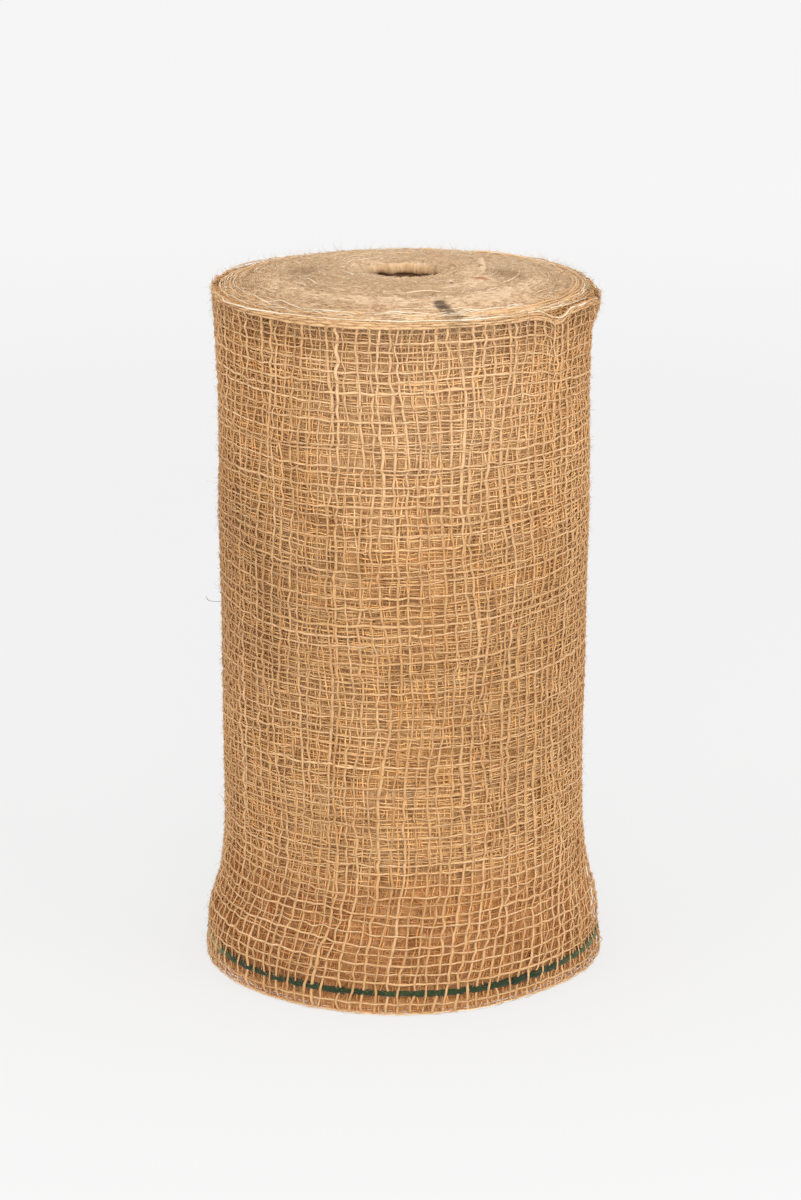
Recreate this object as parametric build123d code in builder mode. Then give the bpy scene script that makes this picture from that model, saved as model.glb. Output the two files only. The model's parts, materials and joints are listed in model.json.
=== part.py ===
from build123d import *
from math import cos, degrees, radians, sin, tan
import os

# A roll of open-weave jute netting, wound on a paperboard core and standing on its end.
# Millimetres, +Z up, origin at the centre of the roll's foot. -Y is the roll's front.

# The core and the tape that holds the first turn of netting on it.
core_bore_radius = 19.0
core_wall = 3.0
core_length = 294.0
core_bottom = 6.0
tape_thickness = 0.3
tape_end_margin = 30.0
tape_start_angle = 65.0
tape_arc = 50.0

# The wound netting. Its outline runs up the outside, as (radius, height): a foot, a flare where
# the lower edges of the last turns have spread, a slight waist and a nearly straight upper part.
outline = [
    (83.5, 0.0),
    (86.5, 14.0),
    (80.3, 41.0),
    (78.4, 70.0),
    (79.4, 140.0),
    (79.9, 220.0),
    (80.2, 298.0),
]
winding_radius = 77.0
spread_height = 45.0

# The innermost turns and the core stand a little higher than the outermost turns: the upper end
# is domed, and the foot is flat only outside the raised middle.
crown_height = 305.5
crown_radius = 38.0
throat_height = 304.5
foot_radius = 45.0
foot_rise = 3.5

# The strip's free end, which lies in the outermost turn and swings out about its root.
root_angle = -45.0
free_edge_angle = 12.0
opening_angle = 50.0
free_end_clearance = 0.2
end_gap = 0.5
swing_margin = 2.0

# The yarns that differ from the rest of the strip.
yarn_radius = 0.6
marker_height = 10.5
selvedge_inset = 1.2

# Worked out from the dimensions above.
core_outer_radius = core_bore_radius + core_wall
core_middle = core_bottom + core_length / 2
tape_height = core_length - 2 * tape_end_margin
rim_radius, rim_height = outline[-1]
flare_radius = max(radius for radius, height in outline)
hinge_radius = rim_radius + 0.4
swing_depth = flare_radius + yarn_radius - hinge_radius
relief_length = swing_depth * tan(radians(opening_angle)) + swing_margin
gap_angle = degrees(end_gap / rim_radius)
relief_angle = degrees(relief_length / flare_radius)
rim_relief_angle = degrees(swing_margin / rim_radius)


def plane_at(angle):
    """The upright plane on the roll's axis at this angle about Z, its x outward and its y up."""
    turn = radians(angle)
    return Plane(origin=(0, 0, 0), x_dir=(cos(turn), sin(turn), 0), z_dir=(sin(turn), -cos(turn), 0))


def outline_radius(height):
    """The roll's outer radius at a height, found on its outline by halving."""
    with BuildLine():
        curve = Spline(*outline)
    low, high = 0.0, 1.0
    for _ in range(40):
        middle = (low + high) / 2
        if (curve @ middle).Y < height:
            low = middle
        else:
            high = middle
    return (curve @ low).X


def layer_section(inner_radius, bottom, top):
    """The cross-section between a plain cylinder and the roll's outline, from bottom to top."""
    reach = 2 * flare_radius
    with BuildSketch() as section:
        with BuildLine():
            outside = Spline(*outline)
            Polyline(outside @ 0, (inner_radius, outline[0][1]), (inner_radius, rim_height), outside @ 1)
        make_face()
        with Locations((0, bottom)):
            Rectangle(reach, top - bottom, align=(Align.CENTER, Align.MIN), mode=Mode.INTERSECT)
    return section.sketch


def yarn_section(height):
    """The round section of a yarn that is half bedded in the outside of the outermost turn."""
    with BuildSketch() as section:
        with Locations((outline_radius(height), height)):
            Circle(yarn_radius)
    return section.sketch


outer_turn_section = layer_section(winding_radius, spread_height, rim_height)
spread_foot_section = layer_section(winding_radius, 0, spread_height)
free_end_section = layer_section(winding_radius + free_end_clearance, spread_height, rim_height)
free_end_foot_section = layer_section(winding_radius + free_end_clearance, 0, spread_height)
marker_section = yarn_section(marker_height)
top_thread_section = yarn_section(rim_height - selvedge_inset)
bottom_thread_section = yarn_section(selvedge_inset)
foot_yarn_sections = [marker_section, bottom_thread_section]

outer_turn_start = free_edge_angle + gap_angle
outer_turn_arc = 360 + root_angle - free_edge_angle - 2 * gap_angle
free_end_arc = free_edge_angle - root_angle


# The core: a plain paperboard tube, a little shorter than the strip is wide.
with BuildPart() as core_tube:
    with BuildSketch(Plane.XY.offset(core_bottom)):
        Circle(core_outer_radius)
        Circle(core_bore_radius, mode=Mode.SUBTRACT)
    extrude(amount=core_length)


# The kraft tape between the core and the first turn.
with BuildSketch() as tape_profile:
    with Locations((core_outer_radius + tape_thickness / 2, core_middle)):
        Rectangle(tape_thickness, tape_height)

with BuildPart() as starter_tape:
    with BuildSketch(plane_at(tape_start_angle)):
        add(tape_profile.sketch)
    revolve(axis=Axis.Z, revolution_arc=tape_arc)


# The wound netting below the outermost turn, with its domed upper end and raised middle.
with BuildPart() as net_windings:
    with BuildSketch(plane_at(0)):
        with BuildLine():
            foot = Polyline((winding_radius, 0), (foot_radius, 0), (core_outer_radius, foot_rise))
            throat = Line(foot @ 1, (core_outer_radius, throat_height))
            rim = Line(foot @ 0, (winding_radius, rim_height))
            ThreePointArc(throat @ 1, (crown_radius, crown_height), rim @ 1)
        make_face()
    revolve(axis=Axis.Z)
    with BuildSketch(plane_at(tape_start_angle)):
        add(tape_profile.sketch)
    revolve(axis=Axis.Z, revolution_arc=tape_arc, mode=Mode.SUBTRACT)


# The outermost turn, which reaches round from the free edge to the free end's root.
with BuildPart() as net_outer_turn:
    with BuildSketch(plane_at(outer_turn_start)):
        add(outer_turn_section)
    revolve(axis=Axis.Z, revolution_arc=outer_turn_arc)
    with BuildSketch(plane_at(outer_turn_start)):
        add(top_thread_section)
    revolve(axis=Axis.Z, revolution_arc=outer_turn_arc, mode=Mode.SUBTRACT)


# The spread lower edges of the last turns, below the outermost turn's straight part.
with BuildPart() as net_spread_foot:
    with BuildSketch(plane_at(outer_turn_start)):
        add(spread_foot_section)
    revolve(axis=Axis.Z, revolution_arc=outer_turn_arc)
    with BuildSketch(plane_at(outer_turn_start)):
        for section in foot_yarn_sections:
            add(section)
    revolve(axis=Axis.Z, revolution_arc=outer_turn_arc, mode=Mode.SUBTRACT)


# The strip's free end, above its spread foot.
with BuildPart() as net_free_end:
    with BuildSketch(plane_at(root_angle)):
        add(free_end_section)
    revolve(axis=Axis.Z, revolution_arc=free_end_arc)
    with BuildSketch(plane_at(root_angle)):
        add(top_thread_section)
    revolve(axis=Axis.Z, revolution_arc=free_end_arc, mode=Mode.SUBTRACT)


# The free end's spread foot. It starts a little past the root, so that it clears the outermost
# turn when the end swings out.
with BuildPart() as net_free_end_foot:
    with BuildSketch(plane_at(root_angle + relief_angle)):
        add(free_end_foot_section)
    revolve(axis=Axis.Z, revolution_arc=free_end_arc - relief_angle)
    with BuildSketch(plane_at(root_angle + relief_angle)):
        for section in foot_yarn_sections:
            add(section)
    revolve(axis=Axis.Z, revolution_arc=free_end_arc - relief_angle, mode=Mode.SUBTRACT)


# The green marker yarn near the lower edge, on the roll and on its free end.
with BuildPart() as marker_yarn:
    with BuildSketch(plane_at(outer_turn_start)):
        add(marker_section)
    revolve(axis=Axis.Z, revolution_arc=outer_turn_arc)

with BuildPart() as marker_yarn_free_end:
    with BuildSketch(plane_at(root_angle + relief_angle)):
        add(marker_section)
    revolve(axis=Axis.Z, revolution_arc=free_end_arc - relief_angle)


# The cream selvedge thread along the upper edge.
with BuildPart() as top_selvedge_thread:
    with BuildSketch(plane_at(outer_turn_start)):
        add(top_thread_section)
    revolve(axis=Axis.Z, revolution_arc=outer_turn_arc)

with BuildPart() as top_selvedge_free_end:
    with BuildSketch(plane_at(root_angle + rim_relief_angle)):
        add(top_thread_section)
    revolve(axis=Axis.Z, revolution_arc=free_end_arc - rim_relief_angle)


# The selvedge thread along the lower edge.
with BuildPart() as bottom_selvedge_thread:
    with BuildSketch(plane_at(outer_turn_start)):
        add(bottom_thread_section)
    revolve(axis=Axis.Z, revolution_arc=outer_turn_arc)

with BuildPart() as bottom_selvedge_free_end:
    with BuildSketch(plane_at(root_angle + relief_angle)):
        add(bottom_thread_section)
    revolve(axis=Axis.Z, revolution_arc=free_end_arc - relief_angle)


pieces = {
    "core_tube": core_tube,
    "starter_tape": starter_tape,
    "net_windings": net_windings,
    "net_outer_turn": net_outer_turn,
    "net_spread_foot": net_spread_foot,
    "net_free_end": net_free_end,
    "net_free_end_foot": net_free_end_foot,
    "marker_yarn": marker_yarn,
    "marker_yarn_free_end": marker_yarn_free_end,
    "top_selvedge_thread": top_selvedge_thread,
    "top_selvedge_free_end": top_selvedge_free_end,
    "bottom_selvedge_thread": bottom_selvedge_thread,
    "bottom_selvedge_free_end": bottom_selvedge_free_end,
}

os.makedirs("parts", exist_ok=True)
for name, piece in pieces.items():
    piece.part.label = name
    export_step(piece.part, f"parts/{name}.step")

hinge = (hinge_radius * cos(radians(root_angle)), hinge_radius * sin(radians(root_angle)))
print("free end's hinge at x, y (mm):", round(hinge[0], 3), round(hinge[1], 3))
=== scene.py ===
import json
import math

import bpy
import numpy as np
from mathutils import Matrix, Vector


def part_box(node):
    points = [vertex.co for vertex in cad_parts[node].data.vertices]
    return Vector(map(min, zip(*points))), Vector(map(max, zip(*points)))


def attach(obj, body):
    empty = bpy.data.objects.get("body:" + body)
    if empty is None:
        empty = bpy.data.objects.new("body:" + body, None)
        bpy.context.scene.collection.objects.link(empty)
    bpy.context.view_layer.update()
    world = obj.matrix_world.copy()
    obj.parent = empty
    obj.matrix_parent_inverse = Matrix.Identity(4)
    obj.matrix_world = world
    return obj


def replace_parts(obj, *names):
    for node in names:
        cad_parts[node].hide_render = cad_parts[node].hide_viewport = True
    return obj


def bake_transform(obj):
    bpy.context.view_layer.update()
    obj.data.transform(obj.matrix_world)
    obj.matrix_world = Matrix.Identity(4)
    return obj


# A roll of open-weave jute netting on a paperboard core. Everything is in metres, in the CAD
# frame: +Z up, the origin at the centre of the roll's foot, -Y the front.
#
# The netting is one strip, wound as a spiral. A place on it is given by phi, the angle wound
# since its free edge, and by its height. The outermost turns are real woven yarns. Below them
# the roll is a wall of pressed yarns, with a matted end above and another below.

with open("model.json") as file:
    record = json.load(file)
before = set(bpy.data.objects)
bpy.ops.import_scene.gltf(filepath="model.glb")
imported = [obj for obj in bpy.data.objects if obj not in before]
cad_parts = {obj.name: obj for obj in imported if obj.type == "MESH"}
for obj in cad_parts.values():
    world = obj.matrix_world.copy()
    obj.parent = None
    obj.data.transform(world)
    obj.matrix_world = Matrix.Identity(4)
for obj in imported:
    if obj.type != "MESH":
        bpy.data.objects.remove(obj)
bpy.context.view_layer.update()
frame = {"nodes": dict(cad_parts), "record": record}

MM = 0.001
TAU = 2 * math.pi

# --- sizes read from the frame ---

HINGE = np.array(frame["record"]["behaviour"]["joints"][0]["pos_m"])
ROOT_ANGLE = math.atan2(HINGE[1], HINGE[0])
RIM_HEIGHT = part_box("net_outer_turn")[1][2]
RIM_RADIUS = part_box("net_outer_turn")[1][1]
CROWN_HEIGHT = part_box("net_windings")[1][2]
FLARE_RADIUS = -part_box("net_spread_foot")[0][1]
SPREAD_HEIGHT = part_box("net_spread_foot")[1][2]
CORE_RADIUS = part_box("core_tube")[1][0]
CORE_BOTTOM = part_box("core_tube")[0][2]
MARKER_HEIGHT = (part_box("marker_yarn")[0][2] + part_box("marker_yarn")[1][2]) / 2
FREE_EDGE_ANGLE = math.asin(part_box("net_free_end")[1][1] / RIM_RADIUS)
FREE_END = FREE_EDGE_ANGLE - ROOT_ANGLE

# --- the netting ---

TURN_PITCH = 0.8 * MM  # one turn's thickness, wound on
WOVEN_TURNS = 5  # turns made of real yarns
ROW_PITCH = 4.2 * MM
SELVEDGE_ROWS = 3  # close rows that bind the upper edge
SELVEDGE_PITCH = 1.1 * MM
COLUMN_PITCH = 4.7 * MM
ROW_RADIUS = 0.38 * MM
COLUMN_RADIUS = 0.44 * MM
COLUMN_FLATNESS = 1.25  # the columns are flat yarns
TWIST_LENGTH = 4.5 * MM  # a yarn's fibres wind round it once in this length
MARKER_RADIUS = 1.3 * MM
WEAVE_DEPTH = 0.33 * MM  # a yarn's swing either side of the cloth's middle
ROW_PROUD = 0.20 * MM  # the thin rows lie a little outside the flat columns
MARKER_SUNK = 0.8 * MM  # the thick marker yarn lies below every column
CLOTH_INSET = 0.85 * MM  # from the CAD outline to the middle of the outermost cloth
FOOT_LEAN = 8.0 * MM  # how far the columns trail aside at the spread foot
COLUMNS_PER_TURN = round(TAU * RIM_RADIUS / COLUMN_PITCH)
COLUMN_STEP = TAU / COLUMNS_PER_TURN
HOLE_RADIUS = CORE_RADIUS - 5.0 * MM
FINENESS = (1.0, 0.85, 0.72, 0.65, 0.65)  # the yarns' size in each turn, as it shows through
FILLED_ABOVE = 55 * MM  # where rows of many turns show between the rows
THREAD_RADIUS = 0.2 * MM
RIM_THREAD_RADIUS = 0.27 * MM
SUNK_THREAD_RADIUS = 0.15 * MM
OUTER_SECTORS = 7  # pieces that the outermost turn is cut into

# --- the ends of the roll ---

DOME_RADIUS = 26 * MM  # the upper end rises from the rim to here
SHOULDER_SHADE = 0.22  # the matted end is browner near the rim
SHOULDER_TURNS = 11  # turns whose folded edges show at the rim
INNER_TURNS = (RIM_RADIUS - CLOTH_INSET - HOLE_RADIUS) / TURN_PITCH - 1.5

# Dents and pinches of the upper end, in millimetres: centre, reach along x and y, and height.
PINCHES = [((-43, -1), (9, 12), -1.3), ((33, 12), (1.3, 14), 1.5), ((42, -8), (7, 12), -1.2)]

# Where the matted end turns down into the hole, in millimetres: out from the hole, and down.
LIP = [(0.0, 0.6), (-0.6, 1.5), (-1.1, 2.5), (-1.2, 3.3), (-0.9, 4.0), (0.4, 4.4), (1.9, 4.3)]

# --- loose fibres, in numbers of them ---

FREE_END_FUZZ = 7400
OUTER_FUZZ = 9400  # in each piece of the outermost turn
SECOND_TURN_FUZZ = 2500  # in each half of the turn below
INNER_FELT = 26000
OUTER_FELT = 32000
LOWER_FELT = 8000

# --- the roll's outline ---

FLARE_HEIGHT = 17 * MM  # where the spread foot is widest
FLARE_REACH = 14 * MM
TUCK_ANGLE = -0.85  # where the foot is tucked in
TUCK_REACH = 0.35
FOOT_FULLNESS = 2.8 * MM
TUCK_DEPTH = 2.4 * MM
EDGE_LIFT = 0.5 * MM  # how far the loose end stands off the roll: along its edge,
CORNER_LIFT = 2.8 * MM  # at its upper corner
LOW_LIFT = 1.0 * MM  # and over the spread foot

# The winding's unevenness: waves round the roll, turn of phase per metre of height, size in
# millimetres, and phase.
UNEVEN_WAVES = ((3, 37, 0.25, 0.4), (5, -52, 0.18, 2.1), (8, 81, 0.14, 4.0))

# The roll's outline as (radius, height), the same as the CAD model's. cloth_radius makes the foot
# a little fuller.
OUTLINE = [
    (FLARE_RADIUS - 2.6 * MM, 0.0),
    (FLARE_RADIUS + 0.2 * MM, 0.30 * SPREAD_HEIGHT),
    (FLARE_RADIUS - 0.6 * MM, 0.48 * SPREAD_HEIGHT),
    (RIM_RADIUS + 0.3 * MM, 0.86 * SPREAD_HEIGHT),
    (RIM_RADIUS - 1.6 * MM, 1.3 * SPREAD_HEIGHT),
    (RIM_RADIUS - 1.7 * MM, 0.33 * RIM_HEIGHT),
    (RIM_RADIUS - 0.4 * MM, 0.65 * RIM_HEIGHT),
    (RIM_RADIUS - 0.7 * MM, 0.86 * RIM_HEIGHT),
    (RIM_RADIUS + 0.9 * MM, RIM_HEIGHT),
]


# --- small tools ---

def smoothstep(low, high, value):
    t = np.clip((value - low) / (high - low), 0, 1)
    return t * t * (3 - 2 * t)


def smooth_field(rng, shape, spread):
    """Random values of unit size that vary smoothly, over about spread samples along each axis."""
    noise = np.fft.fftn(rng.normal(size=shape))
    for axis, (count, width) in enumerate(zip(shape, spread)):
        rate = np.fft.fftfreq(count).reshape([-1 if k == axis else 1 for k in range(len(shape))])
        noise = noise * np.exp(-2 * (math.pi * width * rate) ** 2)
    field = np.fft.ifftn(noise).real
    return field / field.std()


def catmull(values, at):
    """Values along the last axis, read smoothly at fractional places."""
    last = values.shape[-1] - 1
    k = np.clip(np.floor(at).astype(int), 0, last - 1)
    f = at - k
    a, b, c, d = (values[..., np.clip(k + step, 0, last)] for step in (-1, 0, 1, 2))
    return b + 0.5 * f * (c - a + f * (2 * a - 5 * b + 4 * c - d + f * (3 * (b - c) + d - a)))


def world_angle(phi):
    return FREE_EDGE_ANGLE - phi


def around(radius, height, angle):
    return np.stack([radius * np.cos(angle), radius * np.sin(angle), height], -1)


def in_space(phi, radius, height):
    """Points from places on the strip, stacked along a new last axis."""
    return around(radius, height, world_angle(phi))


def outward(phi):
    """Unit vectors that point away from the roll's axis at places on the strip."""
    return in_space(phi, np.ones_like(phi), np.zeros_like(phi))


UP = np.array([0.0, 0.0, 1.0])

_heights = np.linspace(-0.02, 0.34, 721)
_radii = np.interp(_heights, [h for _, h in OUTLINE], [r for r, _ in OUTLINE])
_kernel = np.exp(-0.5 * (np.arange(-30, 31) * 0.5 / 4.0) ** 2)
_radii = np.convolve(np.pad(_radii, 30, mode="edge"), _kernel / _kernel.sum(), mode="valid")


def cloth_radius(phi, height):
    """The middle of the cloth at a place on the strip, with the roll's uneven winding."""
    angle = world_angle(phi)
    radius = np.interp(height, _heights, _radii) - CLOTH_INSET - TURN_PITCH * phi / TAU
    flare = np.exp(-((height - FLARE_HEIGHT) / FLARE_REACH) ** 2)
    radius = radius - 1.2 * MM * flare * np.cos(angle + 0.15) + MM * (0.35 - 0.75 * np.cos(angle))
    radius = radius - 0.75 * MM * flare * np.minimum(phi / TAU, WOVEN_TURNS)
    tucked = np.exp(-(((angle + math.pi) % TAU - math.pi - TUCK_ANGLE) / TUCK_REACH) ** 2)
    radius = radius + (FOOT_FULLNESS - TUCK_DEPTH * tucked) * smoothstep(15 * MM, 2 * MM, height)
    for waves, rise, size, start in UNEVEN_WAVES:
        radius = radius + size * MM * np.sin(waves * angle + rise * height + start)
    return radius + free_end_lift(phi, height)


def free_end_lift(phi, height):
    """How far the loose end, and the turn below its corner, stand off the roll."""
    loose = smoothstep(0.6, 0.0, phi)
    near_rim = smoothstep(RIM_HEIGHT - 20 * MM, RIM_HEIGHT - 7 * MM, height)
    corner = smoothstep(0.8, 0.35, phi) + 0.45 * smoothstep(TAU + 0.8, TAU + 0.35, phi) * (phi > TAU)
    low = smoothstep(FREE_END, 0.5 * FREE_END, phi) * np.exp(-((height - 26 * MM) / (14 * MM)) ** 2)
    return EDGE_LIFT * loose + CORNER_LIFT * corner * near_rim + LOW_LIFT * low


# --- meshes ---

class Soup:
    """Quads gathered from many small parts, for one mesh."""

    def __init__(self):
        self.points, self.quads, self.tones, self.maps = [], [], [], []
        self.count = 0

    def add(self, points, quads, tones, maps):
        self.points.append(points.reshape(-1, 3))
        self.quads.append(quads.reshape(-1, 4) + self.count)
        self.tones.append(np.broadcast_to(tones, points.shape[:-1]).reshape(-1))
        self.maps.append(maps.reshape(-1, 2))
        self.count += points[..., 0].size

    def tubes(self, centres, radii, across, up, tones, sides, lumps=None):
        """Open tubes of many yarns at once: centres [yarn, sample, 3], and two cross directions."""
        yarns, samples = centres.shape[:2]
        across, up = (np.broadcast_to(way, centres.shape)[:, :, None, :] for way in (across, up))
        turn = np.arange(sides) * TAU / sides
        ring = np.cos(turn)[:, None] * across + np.sin(turn)[:, None] * up
        if lumps is not None:
            ring = ring * (1 + 0.13 * lumps.normal(size=ring.shape[:3] + (1,)))
        points = centres[:, :, None, :] + radii[:, :, None, None] * ring
        index = np.arange(yarns * samples * sides).reshape(yarns, samples, sides)
        here, there = index[:, :-1], index[:, 1:]
        quads = np.stack([here, np.roll(here, -1, 2), np.roll(there, -1, 2), there], -1)
        step = np.linalg.norm(np.diff(centres, axis=1), axis=-1)
        along = np.concatenate([np.zeros((yarns, 1)), np.cumsum(step, 1)], 1)
        u = np.stack([along[:, :-1], along[:, :-1], along[:, 1:], along[:, 1:]], -1)[:, :, None]
        v = np.arange(sides)[:, None] / sides + np.array([0, 1, 1, 0]) / sides
        maps = np.stack(np.broadcast_arrays(u, v), -1)
        self.add(points, quads, np.asarray(tones)[..., None], maps)

    def hairs(self, roots, directions, bends, lengths, thickness, tones, steps=3):
        """Fine tapered fibres: each leaves its root along its direction and turns towards its bend."""
        t = np.linspace(0, 1, steps)[None, :, None]
        reach = directions[:, None] * t + bends[:, None] * t * t
        centres = roots[:, None] + lengths[:, None, None] * reach
        centres[..., 2] = np.maximum(centres[..., 2], 0.15 * MM)
        side = np.cross(directions, np.array([0.31, 0.17, 0.93]))
        side /= np.linalg.norm(side, axis=-1, keepdims=True)
        up = np.cross(side, directions)
        radii = thickness[:, None] * np.linspace(1, 0.35, steps)[None]
        tones = np.repeat(tones[:, None], steps, 1)
        self.tubes(centres, radii, side[:, None], up[:, None], tones, 3)

    def grid(self, points, tones, maps):
        """A sheet of quads over points [row, column, 3], closed round the columns."""
        rows, columns = points.shape[:2]
        left = np.arange(rows * columns).reshape(rows, columns)
        right = np.roll(left, -1, 1)
        quads = np.stack([left[:-1], right[:-1], right[1:], left[1:]], -1)
        corner = maps.reshape(-1, 2)[quads.reshape(-1)].reshape(quads.shape + (2,))
        self.add(points, quads, tones, corner)

    def mesh(self, name, material):
        points, quads = np.concatenate(self.points), np.concatenate(self.quads)
        mesh = bpy.data.meshes.new(name)
        mesh.vertices.add(len(points))
        mesh.vertices.foreach_set("co", points.astype(np.float32).ravel())
        mesh.loops.add(quads.size)
        mesh.loops.foreach_set("vertex_index", quads.astype(np.int32).ravel())
        mesh.polygons.add(len(quads))
        mesh.polygons.foreach_set("loop_start", np.arange(0, quads.size, 4, dtype=np.int32))
        mesh.polygons.foreach_set("use_smooth", np.ones(len(quads), bool))
        mesh.update(calc_edges=True)
        tone = mesh.attributes.new("tone", "FLOAT", "POINT")
        tone.data.foreach_set("value", np.concatenate(self.tones).astype(np.float32))
        uv = mesh.uv_layers.new(name="yarn")
        uv.data.foreach_set("uv", np.concatenate(self.maps).astype(np.float32).ravel())
        mesh.materials.append(material)
        piece = bpy.data.objects.new(name, mesh)
        bpy.context.scene.collection.objects.link(piece)
        return piece


# --- materials ---

class Nodes:
    """A material's node tree, with short ways to add and join nodes."""

    def __init__(self, name):
        self.material = bpy.data.materials.new(name)
        self.material.use_nodes = True
        self.tree = self.material.node_tree
        self.shader = self.tree.nodes["Principled BSDF"]
        self.place = self.add("ShaderNodeTexCoord").outputs["Object"]

    def add(self, kind, inputs=None, **settings):
        node = self.tree.nodes.new(kind)
        for key, value in settings.items():
            setattr(node, key, value)
        for key, value in (inputs or {}).items():
            self.set(node.inputs[key], value)
        return node

    def set(self, socket, value):
        if isinstance(value, bpy.types.NodeSocket):
            self.tree.links.new(value, socket)
        else:
            socket.default_value = value

    def maths(self, operation, a, b=0.0, c=0.0):
        node = self.add("ShaderNodeMath", {0: a, 1: b, 2: c}, operation=operation)
        return node.outputs[0]

    def times(self, a, b):
        return self.maths("MULTIPLY", a, b)

    def split(self, vector):
        return self.add("ShaderNodeSeparateXYZ", {0: vector}).outputs

    def joined(self, x, y, z=0.0):
        return self.add("ShaderNodeCombineXYZ", {0: x, 1: y, 2: z}).outputs[0]

    def tone(self):
        return self.add("ShaderNodeAttribute", attribute_name="tone").outputs["Fac"]

    def noise(self, vector, scale, detail=3.0, roughness=0.6):
        inputs = {"Vector": vector, "Scale": scale, "Detail": detail, "Roughness": roughness}
        return self.add("ShaderNodeTexNoise", inputs).outputs["Fac"]

    def ramp(self, value, stops):
        node = self.add("ShaderNodeValToRGB", {"Fac": value})
        elements = node.color_ramp.elements
        while len(elements) < len(stops):
            elements.new(0.5)
        for element, (place, colour) in zip(elements, stops):
            element.position = place
            element.color = (*linear(colour), 1)
        return node.outputs["Color"]

    def tinted(self, colour, tint, share, strength):
        inputs = {0: self.times(share, strength), 6: colour, 7: (*linear(tint), 1)}
        return self.add("ShaderNodeMix", inputs, data_type="RGBA").outputs[2]

    def spread(self, base, noise, share):
        """The base value, moved up and down by a noise."""
        return self.maths("MULTIPLY_ADD", self.maths("SUBTRACT", noise, 0.5), share, base)

    def clamped(self, value):
        return self.add("ShaderNodeClamp", {"Value": value}).outputs[0]

    def spots(self, scale, low, gain):
        """Soft-edged spots, where a noise is higher than low."""
        above = self.maths("SUBTRACT", self.noise(self.place, scale, 2.0), low)
        return self.clamped(self.times(above, gain))

    def distance(self, point):
        """How far a place is from a point that is given in millimetres."""
        inputs = {0: self.place, 1: [c * MM for c in point]}
        return self.add("ShaderNodeVectorMath", inputs, operation="DISTANCE").outputs["Value"]

    def fade(self, value, start, end):
        """0 at the start value and 1 at the end value, with a smooth step between them."""
        inputs = {"Value": value, "From Min": start, "From Max": end}
        return self.add("ShaderNodeMapRange", inputs, interpolation_type="SMOOTHSTEP").outputs["Result"]

    def finish(self, colour, roughness, height, bump=0.4, depth=0.2 * MM, sheen=0.06):
        bumps = self.add("ShaderNodeBump", {"Height": height, "Strength": bump, "Distance": depth})
        values = {"Base Color": colour, "Roughness": roughness, "Specular IOR Level": 0.12,
                  "Sheen Weight": sheen, "Sheen Roughness": 0.6, "Normal": bumps.outputs["Normal"]}
        for name, value in values.items():
            self.set(self.shader.inputs[name], value)
        return self.material


def linear(colour):
    """A display colour, 0 to 255, as scene-linear values."""
    return [((c / 255 + 0.055) / 1.055) ** 2.4 if c > 10 else c / 255 / 12.92 for c in colour]


# Marks on the netting and its matted end, in millimetres: centre, reach, strength and colour. The first
# four are a smudge of dirt; the dark speck at the right rim, between the loose end and the roll, is
# painted shade.
MARKS_AND_PAINTED_SHADE = [
    ((14.3, -58, 301.0), 3.6, 0.85, (98, 72, 54)),
    ((15.8, -63, 300.4), 4.2, 0.92, (84, 60, 44)),
    ((17.4, -68, 299.6), 3.8, 0.80, (104, 78, 58)),
    ((20.5, -76, 297.5), 6.0, 0.40, (142, 118, 84)),
    ((32, -20.5, 305), 4.0, 0.80, (190, 120, 62)),
    ((43, -7, 305), 10.0, 0.55, (178, 136, 96)),
    ((36, 33, 304), 2.2, 0.70, (150, 104, 66)),
    ((34, 19, 304), 2.2, 0.70, (150, 104, 66)),
    ((32, 3, 305), 2.2, 0.70, (150, 104, 66)),
    ((19.7, -31.7, 305), 1.6, 1.0, (64, 40, 28)),
    ((-43.5, -1.5, 305), 9.0, 0.50, (178, 138, 98)),
    ((-79.2, 3, 298.3), 3.2, 1.0, (78, 50, 32)),
    # Painted shade: the dark speck between the loose end and the roll.
    ((79.5, -13, 296.5), 4.2, 1.0, (66, 38, 24)),
]

# Painted light and shade over wide areas, written as the marks are: a paler front high up, and darker,
# browner patches on the left flank and the front right.
BROAD_PAINTED_LIGHT_AND_SHADE = [
    ((10, -78, 268), 78, 0.25, (246, 216, 176)),
    ((-76, -30, 175), 82, 0.20, (140, 92, 50)),
    ((62, -52, 145), 90, 0.14, (150, 100, 56)),
]


# Paints broad light and shade onto a colour.
def with_broad_painted_light_and_shade(nodes, colour):
    for centre, reach, strength, tint in BROAD_PAINTED_LIGHT_AND_SHADE:
        near = nodes.fade(nodes.distance(centre), reach * MM, 0.25 * reach * MM)
        colour = nodes.tinted(colour, tint, near, strength)
    return colour


# Paints the marks, and the painted shade at the right rim, onto a colour.
def with_marks_and_painted_shade(nodes, colour):
    wobble = nodes.noise(nodes.place, 260.0)
    for centre, reach, strength, tint in MARKS_AND_PAINTED_SHADE:
        near = nodes.maths("SUBTRACT", 1.0, nodes.maths("DIVIDE", nodes.distance(centre), reach * MM))
        near = nodes.clamped(nodes.times(nodes.spread(near, wobble, 1.6), 1.8))
        colour = nodes.tinted(colour, tint, near, strength)
    return colour


# Stains on the jute: the noise's scale, the lowest value that shows, and colour.
STAINS = [(150.0, 0.56, (204, 138, 80)), (48.0, 0.53, (226, 184, 130))]

# Where the turns below are browner: from and to which height in millimetres, share and colour. In the
# spread foot this is painted shade, deep among the turns; the second is a browner band just below the
# rim.
BROWNING_AND_PAINTED_SHADE = [(75, 35, 1.0, (206, 134, 70)), (280, 289, 0.6, (158, 98, 50))]
# Brown spots: painted shade for the darker openings between the yarns.
PAINTED_GAP_SHADE = (140, 86, 40)
SEAM_BROWN = (92, 64, 42)


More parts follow.
